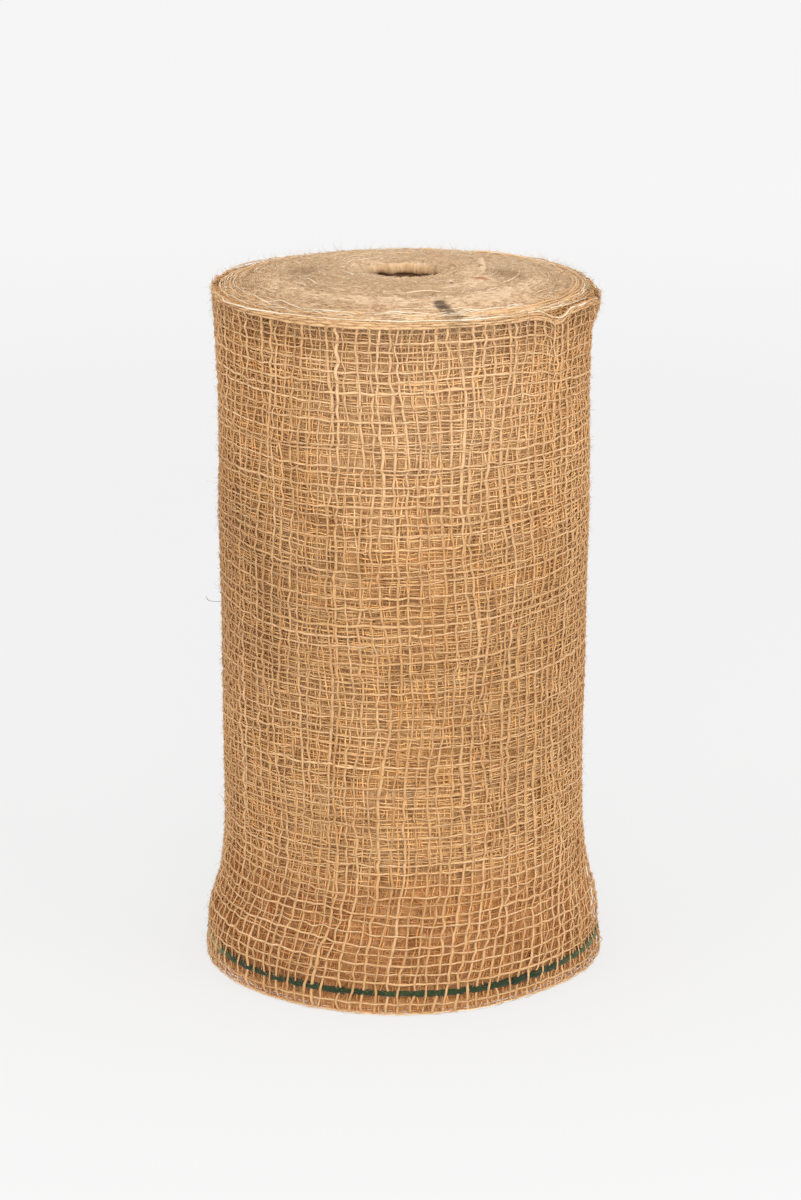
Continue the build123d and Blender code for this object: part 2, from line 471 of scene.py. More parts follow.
def with_browning_and_painted_shade(nodes, colour, share):
    """Browner near the rim, painted shade in the spread foot, and brown spots all over that are painted
    shade in the openings between the yarns.
    """
    height = nodes.split(nodes.place)["Z"]
    for start, end, strength, tint in BROWNING_AND_PAINTED_SHADE:
        near = nodes.fade(height, start * MM, end * MM)
        colour = nodes.tinted(colour, tint, near, strength * share)
    return nodes.tinted(colour, PAINTED_GAP_SHADE, nodes.spots(150.0, 0.5, 6.0), 0.45)


def yarn_material(name, stops, marked_and_shaded=False, sheen=0.06, stains_and_painted_light=0.0, browned_and_shaded=0.0):
    """Twisted, hairy yarn: its own tone, slow patches along it, and fibres that wind round it."""
    nodes = Nodes(name)
    uv = nodes.split(nodes.add("ShaderNodeUVMap", uv_map="yarn").outputs["UV"])
    wound = nodes.maths("MULTIPLY_ADD", uv["X"], 1 / TWIST_LENGTH, uv["Y"])
    along_fibres = nodes.joined(nodes.times(uv["X"], 140.0), nodes.times(wound, 5.0))
    fibres = nodes.noise(along_fibres, 1.0, 4.0, 0.7)
    patches = nodes.noise(nodes.place, 55.0, 4.0)
    colour = nodes.ramp(nodes.spread(nodes.spread(nodes.tone(), fibres, 0.38), patches, 0.38), stops)
    if stains_and_painted_light:
        for scale, low, tint in STAINS:
            colour = nodes.tinted(colour, tint, nodes.spots(scale, low, 7.0), stains_and_painted_light)
    if browned_and_shaded:
        colour = with_browning_and_painted_shade(nodes, colour, browned_and_shaded)
    # Broad painted light and shade, for the yarns that take stains.
    if stains_and_painted_light:
        colour = with_broad_painted_light_and_shade(nodes, colour)
    if marked_and_shaded:
        colour = with_marks_and_painted_shade(nodes, colour)
    strands = nodes.maths("SINE", nodes.times(wound, 3 * TAU))
    height = nodes.maths("MULTIPLY_ADD", strands, 0.35, fibres)
    roughness = nodes.maths("MULTIPLY_ADD", fibres, 0.2, 0.72)
    return nodes.finish(colour, roughness, height, sheen=sheen)


def felt_material():
    """The matted upper and lower ends of the turns: pale, with fine threads round the roll."""
    nodes = Nodes("matted_edges")
    x, y, z = nodes.split(nodes.place)
    angle = nodes.maths("ARCTAN2", y, x)
    radius = nodes.maths("SQRT", nodes.maths("MULTIPLY_ADD", x, x, nodes.times(y, y)))
    rings = []
    for across, along in ((1500.0, 9.0), (650.0, 17.0)):
        climb = nodes.times(z, 0.2 * across)
        at = nodes.joined(nodes.times(radius, across), nodes.times(angle, along), climb)
        rings.append(nodes.noise(at, 1.0, 3.0, 0.65))
    threads, tufts = rings
    patches = nodes.noise(nodes.place, 60.0, 2.0)
    hairs = nodes.noise(nodes.place, 1400.0, 2.0, 0.7)
    shade = nodes.tone()
    for noise, share in ((threads, 0.4), (patches, 0.25), (tufts, 0.85), (hairs, 0.3)):
        shade = nodes.spread(shade, noise, share)
    colour = with_marks_and_painted_shade(nodes, nodes.ramp(shade, FELT_STOPS))
    height = nodes.maths("MULTIPLY_ADD", threads, 1.5, hairs)
    return nodes.finish(colour, 0.9, height, bump=0.6, depth=0.4 * MM, sheen=0.12)


def board_material(name, stops, seam_pitch):
    """Kraft board: flecks and clouds of paper fibre, and a fine seam that climbs round the tube."""
    nodes = Nodes(name)
    x, y, z = nodes.split(nodes.place)
    flecks = nodes.noise(nodes.place, 900.0, 4.0, 0.7)
    clouds = nodes.noise(nodes.place, 90.0, 3.0)
    shade = nodes.maths("MULTIPLY_ADD", flecks, 0.5, nodes.times(clouds, 0.5))
    turn = nodes.maths("DIVIDE", nodes.maths("ARCTAN2", y, x), TAU)
    climb = nodes.maths("ADD", turn, nodes.maths("DIVIDE", z, seam_pitch))
    seam = nodes.maths("LESS_THAN", nodes.maths("FRACT", climb), 0.012)
    colour = nodes.tinted(nodes.ramp(shade, stops), SEAM_BROWN, seam, 0.7)
    height = nodes.maths("SUBTRACT", flecks, seam)
    return nodes.finish(colour, 0.8, height, bump=0.3, sheen=0.05)


JUTE_STOPS = [(0.0, (158, 110, 64)), (0.3, (194, 148, 97)), (0.55, (210, 168, 120)),
              (0.8, (226, 187, 141)), (1.0, (237, 206, 165))]
# The turns below and the wall of pressed yarns are a paler copy of the jute: painted light, where little
# light reaches into the gaps.
DEEP_STOPS = [(0.0, (190, 118, 54)), (0.35, (230, 168, 98)), (0.7, (245, 196, 132)),
              (1.0, (250, 218, 168))]
FELT_STOPS = [(0.0, (164, 124, 86)), (0.3, (202, 165, 123)), (0.55, (220, 187, 148)),
              (0.8, (226, 197, 161)), (1.0, (240, 218, 186))]
GREEN_STOPS = [(0.15, (12, 18, 8)), (0.45, (34, 50, 26)), (0.7, (78, 92, 52)), (1.0, (178, 152, 104))]
CREAM_STOPS = [(0.0, (206, 174, 134)), (0.5, (230, 206, 172)), (1.0, (248, 236, 214))]
# A dark kraft brown: partly the board's own colour, partly painted shade for the bore seen deep in the
# hole.
KRAFT_AND_HOLE_SHADE_STOPS = [(0.2, (112, 80, 54)), (0.5, (142, 106, 74)), (0.8, (170, 132, 96))]
DARK_STOPS = [(0.0, (44, 32, 26)), (1.0, (92, 66, 46))]

JUTE = yarn_material("jute_yarn", JUTE_STOPS, marked_and_shaded=True, stains_and_painted_light=0.15)
DEEP_JUTE = yarn_material("jute_yarn_below", DEEP_STOPS, stains_and_painted_light=0.30, browned_and_shaded=0.55)
GREEN = yarn_material("green_marker_yarn", GREEN_STOPS, sheen=0.1)
CREAM = yarn_material("cream_selvedge_thread", CREAM_STOPS, marked_and_shaded=True)
DARK_HAIR = yarn_material("dark_hair", DARK_STOPS, sheen=0.1)
FELT = felt_material()
KRAFT = board_material("kraft_board", KRAFT_AND_HOLE_SHADE_STOPS, 62 * MM)
TAPE = board_material("kraft_tape", KRAFT_AND_HOLE_SHADE_STOPS, 400 * MM)  # --- the strip's crossings ---

def row_heights():
    """The rows, from the foot up: even, then a few close ones that bind the upper edge."""
    first, last = 1.0 * MM, RIM_HEIGHT - 0.6 * MM
    selvedge = last - SELVEDGE_PITCH * np.arange(SELVEDGE_ROWS)[::-1]
    below = selvedge[0] - 2.6 * MM
    count = round((below - first) / ROW_PITCH) + 1
    return np.concatenate([np.linspace(first, below, count), selvedge])


ROWS = row_heights()
MARKER_ROW = int(np.argmin(np.abs(ROWS - MARKER_HEIGHT)))
COLUMNS = COLUMNS_PER_TURN * WOVEN_TURNS + 8
ROOT_COLUMN = round(FREE_END / COLUMN_STEP) + 2


def crossings(seed):
    """phi and height of every crossing of a row with a column, [row, column]."""
    rng = np.random.default_rng(seed)
    shape = (len(ROWS), COLUMNS)
    phi = np.arange(COLUMNS)[None] * COLUMN_STEP + np.zeros(shape)
    height = ROWS[:, None] + np.zeros(shape)
    from_edges = np.minimum(ROWS - ROWS[0], ROWS[-1] - ROWS)[:, None]
    free = smoothstep(-4 * MM, 34 * MM, from_edges)
    rise = 1.7 * smooth_field(rng, shape, (7, 9)) + 0.75 * smooth_field(rng, shape, (2, 3.5))
    rise = rise + 0.5 * smooth_field(rng, shape, (0.01, 5)) + 0.42 * rng.normal(size=(shape[0], 1))
    rise = rise + 0.24 * rng.normal(size=shape)
    front = (world_angle(phi) + math.pi / 2 + math.pi) % TAU - math.pi
    sag = 1.2 * np.exp(-(front / 0.75) ** 2) * np.sin(math.pi * ROWS / RIM_HEIGHT)[:, None]
    height = height + MM * (rise * free - sag)
    lean = 1.6 * smooth_field(rng, shape, (10, 5)) + 1.2 * smooth_field(rng, shape, (3.5, 2.5))
    lean = lean + 0.6 * smooth_field(rng, shape, (2.5, 0.01)) + 0.45 * rng.normal(size=(1, shape[1]))
    lean = MM * (lean + 0.3 * rng.normal(size=shape))
    trail = FOOT_LEAN * (1 + 0.35 * smooth_field(rng, (1, shape[1]), (0.01, 9)))
    lean = lean + trail * smoothstep(62 * MM, 5 * MM, ROWS)[:, None]
    phi = phi + lean / RIM_RADIUS
    near_top = smoothstep(RIM_HEIGHT - 43 * MM, RIM_HEIGHT, ROWS)[:, None]
    folded = 2.9 * np.exp(-((phi - 0.86) / 0.09) ** 2) + 1.2 * smoothstep(1.1, 0.9, phi)
    height = height - MM * near_top * (folded + 3.2 * smoothstep(0.6, 0.1, phi))
    height = np.maximum(height, ROWS[:1, None] * 0.8)
    phi[:, 0] = phi[:, 1] - MM * rng.uniform(1.0, 6.5, len(ROWS)) / RIM_RADIUS
    return phi, height


CROSS_PHI, CROSS_HEIGHT = crossings(11)


def spun(rng, shape, per_cell):
    """Uneven spun yarns: their sizes as a share of the usual, with a few slubs, and their tones."""
    swell = smooth_field(rng, shape, (0.01, 2.2 * per_cell))
    slubs = np.clip(smooth_field(rng, shape, (0.01, 1.1 * per_cell)) - 2.2, 0, 1.2)
    own = rng.normal(1.0, 0.11, (shape[0], 1))
    sizes = np.clip(own * (1 + 0.16 * swell) + 0.5 * slubs, 0.55, 2.0)
    slow = smooth_field(rng, shape, (0.01, 5 * per_cell))
    return sizes, rng.normal(0, 0.05, (shape[0], 1)) + 0.07 * slow


def rows_between(rng, phi, height):
    """The crossings with thin rows added half-way, where many turns show through above the foot."""
    low = int(np.searchsorted(ROWS, FILLED_ABOVE))
    high = len(ROWS) - SELVEDGE_ROWS
    more_phi = (phi[low:high - 1] + phi[low + 1:high]) / 2
    more_height = (height[low:high - 1] + height[low + 1:high]) / 2
    more_height = more_height + 0.5 * MM * smooth_field(rng, more_height.shape, (0.01, 3))
    return np.concatenate([phi, more_phi]), np.concatenate([height, more_height])


class Turns:
    """The woven yarns of some turns, worked out once and then cut into pieces."""

    def __init__(self, seed, first, last, per_cell, sides, mean_tone, below=False):
        self.rng = np.random.default_rng(seed)
        self.first, self.last, self.per_cell, self.sides = first, last, per_cell, sides
        self.mean_tone, self.fineness = mean_tone, FINENESS[first // COLUMNS_PER_TURN]
        columns = slice(first, last + 1)
        phi, height = CROSS_PHI[:, columns], CROSS_HEIGHT[:, columns]
        self.lay_rows(*(rows_between(self.rng, phi, height) if below else (phi, height)))
        self.wear_marker()
        self.lay_columns(phi.T, height.T)
        if not below:
            self.add_slub()
        self.turn_over()

    def lay_rows(self, phi, height):
        at = np.arange((self.last - self.first) * self.per_cell + 1) / self.per_cell
        parity = (np.arange(len(phi))[:, None] + self.first + at[None]) * math.pi
        self.jute_rows = np.delete(np.arange(len(phi)), MARKER_ROW)
        self.row_phi, self.row_height = catmull(phi, at), catmull(height, at)
        self.row_height += 0.10 * MM * smooth_field(self.rng, self.row_phi.shape, (0.01, 0.8))
        self.row_radius = cloth_radius(self.row_phi, self.row_height) + ROW_PROUD
        self.row_radius += WEAVE_DEPTH * np.cos(parity)
        self.row_radius[MARKER_ROW] -= MARKER_SUNK
        sizes, tones = spun(self.rng, self.row_phi.shape, self.per_cell)
        self.row_size = self.fineness * ROW_RADIUS * sizes
        self.row_size[len(ROWS) - SELVEDGE_ROWS:len(ROWS)] *= 1.4
        self.row_tone = self.mean_tone + 0.08 + tones

    def wear_marker(self):
        """The marker yarn's green has worn off at the free edge, and at one place of the front."""
        phi = self.row_phi[MARKER_ROW]
        worn = smoothstep(1.1, 0.5, phi) + smoothstep(2.8, 3.05, phi) * smoothstep(3.9, 3.5, phi)
        self.row_tone[MARKER_ROW] += 0.42 * worn - 0.12

    def lay_columns(self, phi, height):
        at = np.arange((len(ROWS) - 1) * self.per_cell + 1) / self.per_cell
        parity = (np.arange(self.first, self.last + 1)[:, None] + at[None]) * math.pi
        self.column_phi, self.column_height = catmull(phi, at), catmull(height, at)
        sway = 0.14 * MM * smooth_field(self.rng, self.column_phi.shape, (0.01, 0.8))
        self.column_phi += sway / RIM_RADIUS
        self.column_radius = cloth_radius(self.column_phi, self.column_height)
        self.column_radius -= WEAVE_DEPTH * np.cos(parity)
        sizes, tones = spun(self.rng, self.column_phi.shape, self.per_cell)
        self.column_size = self.fineness * COLUMN_RADIUS * sizes
        self.column_tone = self.mean_tone - 0.06 + tones

    def add_slub(self):
        """One thick, loosely spun place in a row, high on the front."""
        row = int(np.argmin(np.abs(ROWS - 266 * MM)))
        away = (self.row_phi[row] - (FREE_EDGE_ANGLE + 1.316)) * RIM_RADIUS
        self.row_size[row] *= 1 + 1.6 * np.exp(-(away / (3 * MM)) ** 2)

    def turn_over(self):
        """Each column folds in over the upper edge, where it turns back into the cloth."""
        phi, height = self.column_phi[:, -1:], self.column_height[:, -1:]
        radius = cloth_radius(phi, height)
        for name, ends in (("column_phi", (phi, phi)),
                           ("column_height", (height + 0.7 * MM, height + 0.8 * MM)),
                           ("column_radius", (radius + 0.1 * MM, radius - 1.1 * MM)),
                           ("column_size", (self.column_size[:, -2:],)),
                           ("column_tone", (self.column_tone[:, -2:],))):
            setattr(self, name, np.concatenate([getattr(self, name), *ends], 1))

    def row_part(self, start, end, which):
        begin = 0 if start <= self.first else (start - self.first) * self.per_cell - 1
        stop = (end - self.first) * self.per_cell
        return np.s_[which, begin:stop + 1 if end >= self.last else stop]

    def row_paths(self, start, end, which):
        part = self.row_part(start, end, which)
        centres = in_space(self.row_phi[part], self.row_radius[part], self.row_height[part])
        return centres, outward(self.row_phi[part])

    def rows(self, soup, start, end, which, swell=1.0):
        """Adds the chosen rows between two columns to a soup, and returns where they run."""
        part = self.row_part(start, end, which)
        centres, out = self.row_paths(start, end, which)
        sizes, tones = swell * self.row_size[part], self.row_tone[part]
        soup.tubes(centres, sizes, 0.85 * out, UP, tones, self.sides, self.rng)
        return centres, out

    def columns(self, soup, start, end):
        """Adds the columns between two places to a soup, and returns where they run."""
        part = np.s_[max(start, 1) - self.first:end - self.first]
        centres = in_space(self.column_phi[part], self.column_radius[part], self.column_height[part])
        out = outward(self.column_phi[part])
        across, over = COLUMN_FLATNESS * np.cross(out, UP), out / COLUMN_FLATNESS
        sizes, tones = self.column_size[part], self.column_tone[part]
        soup.tubes(centres, sizes, across, over, tones, self.sides, self.rng)
        return centres, out


def add_fuzz(soup, rng, centres, out, count, mean_tone, reach=(1.2, 4.5), spread=0.45):
    """Loose fibres that lie along a set of yarns and lift off them."""
    yarns, samples = centres.shape[:2]
    yarn = rng.integers(0, yarns, count)
    sample = rng.integers(1, samples - 1, count)
    along = centres[yarn, sample + 1] - centres[yarn, sample - 1]
    along /= np.linalg.norm(along, axis=-1, keepdims=True) + 1e-9
    along *= rng.choice([-1.0, 1.0], (count, 1))
    normal = out[yarn, sample]
    side = np.cross(normal, along)
    tilt = rng.uniform(-0.1, 0.3, (count, 1)) ** 3 * 10
    spin = rng.normal(0, spread, (count, 1))
    direction = along + tilt * normal + spin * side
    direction /= np.linalg.norm(direction, axis=-1, keepdims=True)
    bend = rng.normal(0, 0.35, (count, 3)) - 0.15 * normal
    roots = centres[yarn, sample] + MM * (0.3 * normal + rng.normal(0, 0.3, (count, 1)) * side)
    lengths = MM * rng.uniform(*reach, count)
    soup.hairs(roots, direction, bend, lengths, MM * rng.uniform(0.035, 0.075, count),
               mean_tone + rng.normal(0, 0.12, count))


MARKER_ONLY = np.array([MARKER_ROW])
RIM_ROWS = np.arange(len(ROWS) - 5, len(ROWS))


def net_piece(name, turns, start, end, material, fuzz, seed):
    soup = Soup()
    rng = np.random.default_rng(seed)
    for centres, out in (turns.rows(soup, start, end, turns.jute_rows), turns.columns(soup, start, end)):
        if fuzz:
            add_fuzz(soup, rng, centres, out, fuzz // 2, 0.62)
    if fuzz:
        for which, per_column in ((MARKER_ONLY, 18), (RIM_ROWS, 40)):
            paths = turns.row_paths(start, end, which)
            add_fuzz(soup, rng, *paths, per_column * (end - start), 0.6, (1.5, 4.0), 0.9)
    piece = soup.mesh(name, material)
    return piece


def marker_piece(name, turns, start, end):
    soup = Soup()
    centres, out = turns.rows(soup, start, end, MARKER_ONLY, MARKER_RADIUS / ROW_RADIUS)
    rng = np.random.default_rng(start + 1)
    add_fuzz(soup, rng, centres, out, 16 * (end - start), 0.5, (1.0, 3.0), 0.6)
    return soup.mesh(name, GREEN)


def rim_height(phi, above):
    """A height above the uppermost row, at places on the strip."""
    columns = np.clip(phi / COLUMN_STEP, 0, COLUMNS - 2)
    return catmull(CROSS_HEIGHT[-1:], columns.ravel()).reshape(phi.shape) + above


def thread_piece(name, start, end, seed, radius=THREAD_RADIUS, above=None):
    """A thin selvedge thread: above the uppermost row, or else along the foot."""
    rng = np.random.default_rng(seed)
    samples = (end - start) * 4 + 1
    phi = np.linspace(start, end, samples)[None] * COLUMN_STEP
    height = np.full_like(phi, 1.0 * MM) if above is None else rim_height(phi, above)
    height += 0.45 * MM * smooth_field(rng, (1, samples), (0.01, 14))
    height += 0.15 * MM * smooth_field(rng, (1, samples), (0.01, 1.5))
    weave = 0.35 * MM * smooth_field(rng, (1, samples), (0.01, 2.5))
    out_by = cloth_radius(phi, height) + 0.62 * MM + weave
    centres = in_space(phi, out_by, np.maximum(height, 0.6 * MM))
    soup = Soup()
    tone = 0.45 + 0.25 * smooth_field(rng, (1, samples), (0.01, 6))
    soup.tubes(centres, radius * (1 + 0.2 * weave / MM), outward(phi), UP, tone, 6)
    return soup.mesh(name, CREAM)


# --- the pieces of the strip ---

TURN_ENDS = [COLUMNS_PER_TURN * k for k in range(WOVEN_TURNS + 1)]
outer_turn = Turns(101, 0, TURN_ENDS[1] + 4, 3, 5, 0.52)


def edge_yarns(prefix, start, end, seed, nodes):
    """The marker yarn and the two selvedge threads of the outermost turn, between two columns."""
    pieces = [
        marker_piece(f"{prefix}_marker_yarn", outer_turn, start, end),
        thread_piece(f"{prefix}_top_thread", start, end, seed, RIM_THREAD_RADIUS, 0.55 * MM),
        thread_piece(f"{prefix}_bottom_thread", start, end, seed + 1),
    ]
    for piece, node in zip(pieces, nodes):
        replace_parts(piece, node)
    return pieces


def make_free_end():
    cloth = net_piece("free_end_netting", outer_turn, 0, ROOT_COLUMN, JUTE, FREE_END_FUZZ, 7)
    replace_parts(cloth, "net_free_end", "net_free_end_foot")
    nodes = ("marker_yarn_free_end", "top_selvedge_free_end", "bottom_selvedge_free_end")
    for piece in [cloth, *edge_yarns("free_end", 0, ROOT_COLUMN, 31, nodes)]:
        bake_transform(piece)


def make_outer_turn():
    cuts = np.linspace(ROOT_COLUMN, TURN_ENDS[1], OUTER_SECTORS + 1).round().astype(int)
    for k, (start, end) in enumerate(zip(cuts[:-1], cuts[1:])):
        name = f"outer_turn_netting_{k + 1}"
        piece = net_piece(name, outer_turn, start, end, JUTE, OUTER_FUZZ, 40 + k)
        if k == 0:
            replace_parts(piece, "net_outer_turn", "net_spread_foot")
        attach(piece, "roll")
    nodes = ("marker_yarn", "top_selvedge_thread", "bottom_selvedge_thread")
    for piece in edge_yarns("outer_turn", ROOT_COLUMN, TURN_ENDS[1], 33, nodes):
        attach(piece, "roll")


def make_inner_turns():
    for number in range(1, WOVEN_TURNS):
        first, last = TURN_ENDS[number], TURN_ENDS[number + 1]
        # Each deeper turn is given a paler tone: painted light against its deeper shade.
        turns = Turns(200 + number, first, last + 4, 2, 3, 0.58 + 0.03 * number, below=True)
        middle = (first + last) // 2
        name = f"turn_{number + 1}"
        for half, (start, end) in enumerate(((first, middle), (middle, last))):
            fuzz = SECOND_TURN_FUZZ if number == 1 else 0
            piece = net_piece(f"{name}_netting_{half + 1}", turns, start, end, DEEP_JUTE, fuzz, 90 + half)
            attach(piece, "roll")
        if number == 1:
            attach(marker_piece(f"{name}_marker_yarn", turns, first, last), "roll")
        top = thread_piece(f"{name}_top_thread", first, last, 60 + number, SUNK_THREAD_RADIUS, 0.05 * MM)
        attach(top, "roll")


# --- the wound body below the woven turns ---

def crown(radius):
    """The height of the domed upper end: it falls to the rim, and a little towards the hole."""
    inward = np.clip((RIM_RADIUS - radius) / (RIM_RADIUS - DOME_RADIUS), 0, 1)
    dome = RIM_HEIGHT + (CROWN_HEIGHT - RIM_HEIGHT) * (1 - (1 - inward) ** 1.6)
    throat = 0.8 * MM * smoothstep(CORE_RADIUS + 8 * MM, HOLE_RADIUS, radius)
    return dome - throat - 0.5 * MM


def shoulder_shade(radius):
    return SHOULDER_SHADE * smoothstep(54 * MM, 70 * MM, radius)


def on_roll(soup, name, material):
    """Makes a soup into a piece that rides on the roll."""
    piece = soup.mesh(name, material)
    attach(piece, "roll")
    return piece


def make_body_side():
    """The turns just below the woven ones: a wall of pressed yarns, with ridges round the roll."""
    rng = np.random.default_rng(77)
    shape = (260, 320)
    angle = np.linspace(0, TAU, shape[1], endpoint=False)
    height = np.broadcast_to(np.linspace(0.6 * MM, RIM_HEIGHT - 1.5 * MM, shape[0])[:, None], shape)
    phi = np.broadcast_to((FREE_EDGE_ANGLE - angle) % TAU, shape) + WOVEN_TURNS * TAU
    ridges = 0.26 * smooth_field(rng, shape, (0.7, 7)) + 0.14 * smooth_field(rng, shape, (6, 0.8))
    radius = cloth_radius(phi, height) + MM * ridges
    tones = 0.8 + 0.12 * smooth_field(rng, shape, (1, 9))
    maps = np.stack([np.broadcast_to(angle * RIM_RADIUS, shape), height / (3 * MM)], -1)
    side = Soup()
    side.grid(around(radius, height, angle), tones, maps)
    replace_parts(on_roll(side, "wound_body_side", DEEP_JUTE), "net_windings")


def end_relief(rng, flat, angle, upper):
    """The slight ridges and lumps of a matted end."""
    shape = (len(flat), len(angle))
    turn = ((FREE_EDGE_ANGLE - angle) % TAU / TAU)[None]
    ridge = 0.05 * MM * np.cos(TAU * ((flat - RIM_RADIUS) / TURN_PITCH / 3 + turn))
    ridge = ridge * (1 + 0.6 * smooth_field(rng, shape, (6, 10)))
    small, broad = smooth_field(rng, shape, (2.0, 1.2)), smooth_field(rng, shape, (14, 24))
    relief = ridge + 0.10 * MM * small + 0.12 * MM * broad
    if not upper:
        return np.clip(relief, -0.3 * MM, 0.7 * MM)
    x, y = flat * np.cos(angle) / MM, flat * np.sin(angle) / MM
    for (at_x, at_y), (reach_x, reach_y), rise in PINCHES:
        near = np.exp(-((x - at_x) / reach_x) ** 2 - ((y - at_y) / reach_y) ** 2)
        relief = relief + rise * MM * near
    return relief


def make_body_end(name, upper, seed):
    """One end of the turns: matted edges, slightly ridged, that turn down into the hole."""
    rng = np.random.default_rng(seed)
    shape = (150, 480)
    angle = np.linspace(0, TAU, shape[1], endpoint=False)
    outer = RIM_RADIUS - CLOTH_INSET - (WOVEN_TURNS - 0.5) * TURN_PITCH
    flat = np.linspace(outer, HOLE_RADIUS + 0.8 * MM, shape[0])[:, None]
    height = (crown(flat) if upper else foot_level(flat)) + end_relief(rng, flat, angle, upper)
    inset, drop = np.array(LIP).T[:, :, None] * MM
    ragged = smooth_field(rng, (len(LIP), shape[1]), (1.2, 26))
    lip_radius = HOLE_RADIUS + inset + 0.3 * MM * ragged * np.linspace(1, 0, len(LIP))[:, None]
    drop = drop * (1 + 0.12 * smooth_field(rng, (1, shape[1]), (0.01, 9)))
    radius = np.concatenate([np.broadcast_to(flat, shape), lip_radius])
    height = np.concatenate([height, height[-1:] - drop if upper else height[-1:] + drop])
    tones = 0.62 - shoulder_shade(radius) + 0.05 * smooth_field(rng, radius.shape, (5, 6))
    # The lip is painted darker the further it turns into the hole: painted shade.
    tones[-len(LIP):] -= np.linspace(0.2, 0.9, len(LIP))[:, None]
    maps = np.stack([np.broadcast_to(angle * RIM_RADIUS, radius.shape), height], -1)
    end = Soup()
    end.grid(around(radius, height, angle), tones, maps)
    on_roll(end, name, FELT)


def foot_level(radius):
    """The height of the turns' lower edges: just off the floor, and raised near the core."""
    return 0.9 * MM + CORE_BOTTOM * 0.5 * smoothstep(45 * MM, CORE_RADIUS, radius)


def spiral(start_turn, end_turn, spacing):
    """phi along the strip from one turn to another, at even steps of length, and its radius."""
    phi = [start_turn * TAU]
    while phi[-1] < end_turn * TAU:
        phi.append(phi[-1] + spacing / (RIM_RADIUS - TURN_PITCH * phi[-1] / TAU))
    phi = np.array(phi)
    return phi, RIM_RADIUS - CLOTH_INSET - TURN_PITCH * phi / TAU


class EndOfStrip:
    """The edge of the strip as one end of the roll shows it."""

    def __init__(self, upper, seed):
        self.upper, self.sign = upper, 1.0 if upper else -1.0
        self.rng = np.random.default_rng(seed)

    def level(self, radius):
        return crown(radius) if self.upper else foot_level(radius)

    def cord(self, soup, turns, spacing, size, drop, wave, tone, sides):
        """One thread along the edge of the strip, which wanders above and below the matted surface."""
        rng = self.rng
        phi, radius = spiral(*turns, spacing)
        samples = len(phi)
        short, long = smooth_field(rng, (samples,), (1.3,)), smooth_field(rng, (samples,), (16,))
        height = self.level(radius) + self.sign * MM * (wave * short + 0.35 * long - drop)
        radius = radius + 0.25 * MM * smooth_field(rng, (samples,), (4,))
        centres = in_space(phi, radius, np.maximum(height, 0.4 * MM))[None]
        sizes = size * MM * (1 + 0.2 * smooth_field(rng, (1, samples), (0.01, 5)))
        sizes = np.clip(sizes, 0.3 * size * MM, None)
        shade = tone + 0.12 * smooth_field(rng, (1, samples), (0.01, 12))
        soup.tubes(centres, sizes, outward(phi)[None], UP, shade, sides)

    def loops(self, soup, turns, pitch):
        """Cross yarns that fold over the edge of the strip."""
        rng = self.rng
        phi, radius = spiral(*turns, pitch)
        count = len(phi)
        phi = phi + MM * rng.normal(0, 0.9, count) / radius
        arc = np.linspace(0, math.pi, 6)[None]
        lean = MM * rng.normal(0, 0.7, (count, 1)) / radius[:, None]
        reach = MM * rng.uniform(0.35, 0.7, (count, 1))
        rise = MM * rng.uniform(0.1, 0.6, (count, 1))
        loop_radius = radius[:, None] + reach * np.cos(arc)
        base = self.level(radius)[:, None] - self.sign * 0.5 * MM
        loop_height = np.maximum(base + self.sign * rise * np.sin(arc), 0.4 * MM)
        loops = in_space(phi[:, None] + lean * np.cos(arc), loop_radius, loop_height)
        along = outward(phi + math.pi / 2)[:, None] + 0 * loops
        over = np.cross(np.gradient(loops, axis=1), along)
        over /= np.linalg.norm(over, axis=-1, keepdims=True)
        sizes = MM * rng.uniform(0.3, 0.5, (count, 1)) + 0 * arc
        soup.tubes(loops, sizes, along, over, rng.normal(0.6, 0.1, (count, 1)) + 0 * arc, 4)

    def felted(self, soup, count, inner, outer):
        """Fine fibres that lie every way on the matted surface."""
        rng = self.rng
        radius = np.sqrt(rng.uniform(inner ** 2, outer ** 2, count))
        angle = rng.uniform(0, TAU, count)
        height = self.level(radius) + self.sign * MM * rng.uniform(-0.2, 0.3, count)
        roots = around(radius, height, angle)
        heading = rng.uniform(0, TAU, count)
        rise = self.sign * rng.normal(0.04, 0.13, count)
        directions = np.stack([np.cos(heading), np.sin(heading), rise], -1)
        bends = rng.normal(0, 0.4, (count, 3)) * [1, 1, 0.2] - [0, 0, 0.04 * self.sign]
        lengths = MM * rng.uniform(0.8, 3.0, count)
        sizes = MM * rng.uniform(0.06, 0.17, count)
        tones = rng.normal(0.64, 0.16, count) - shoulder_shade(radius)
        soup.hairs(roots, directions, bends, lengths, sizes, tones, steps=2)


